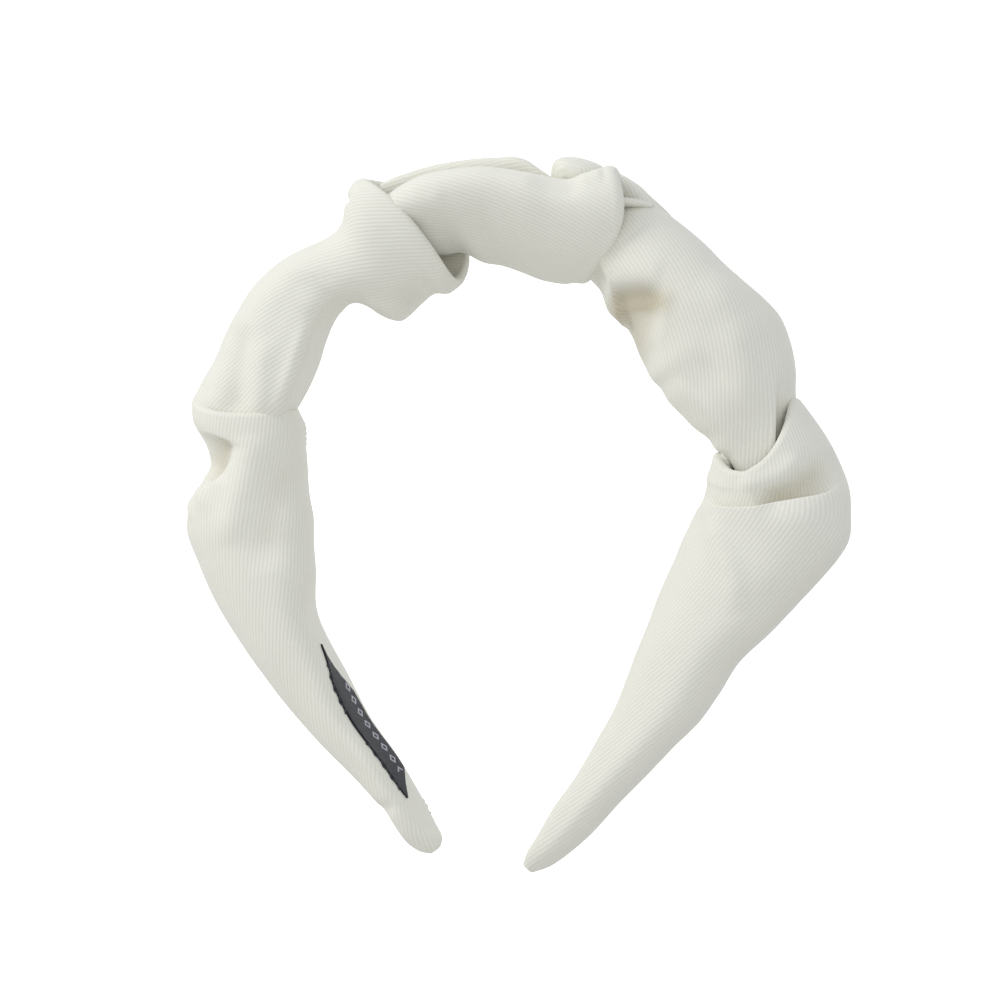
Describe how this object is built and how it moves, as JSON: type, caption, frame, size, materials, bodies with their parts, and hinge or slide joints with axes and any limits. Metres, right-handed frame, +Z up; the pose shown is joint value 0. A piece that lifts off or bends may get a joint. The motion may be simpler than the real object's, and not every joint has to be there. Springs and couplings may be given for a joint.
{
  "type": "knotted headband",
  "caption": "Padded hair band: a sprung arch covered in a cream ribbed twill tube that is knotted over the crown and tapers to two closed tips.",
  "frame": {"origin": "middle of the crown's underside, where the band rests on the head", "axes": "+Z up through the crown, +X to the right seen from the front, +Y to the back; the legs hang down along -Z"},
  "size_m": [0.1614, 0.0317, 0.1704],
  "materials": {
    "twill": "matte ribbed twill, soft sheen",
    "band_cover": "matte twill pulled tight",
    "band_plastic": "moulded, matte",
    "wadding": "soft fibre wadding",
    "label_satin": "dark woven satin with a plain pale pattern",
    "label_thread": "dark sewing thread",
    "thread": "cream sewing thread"
  },
  "bodies": {
    "root": {"core_band": "band_plastic", "band_sleeve": "band_cover", "left_leg_sleeve": "twill", "left_shoulder_puff": "twill", "crown_puff": "twill", "right_shoulder_puff": "twill", "right_leg_sleeve": "twill", "crown_back_strand": "twill", "upper_right_knot_loop": "twill", "upper_right_knot_tuck": "twill", "upper_right_knot_roll": "twill", "left_leg_wadding": "wadding", "left_shoulder_wadding": "wadding", "crown_wadding": "wadding", "right_shoulder_wadding": "wadding", "right_leg_wadding": "wadding", "woven_label": "label_satin", "label_stitch_upper": "label_thread", "label_stitch_lower": "label_thread", "lower_left_knot_tack": "thread", "upper_left_knot_tack": "thread", "upper_right_knot_tack": "thread", "lower_right_knot_tack": "thread", "left_tip_stitch": "thread", "right_tip_stitch": "thread"}
  },
  "joints": []
}
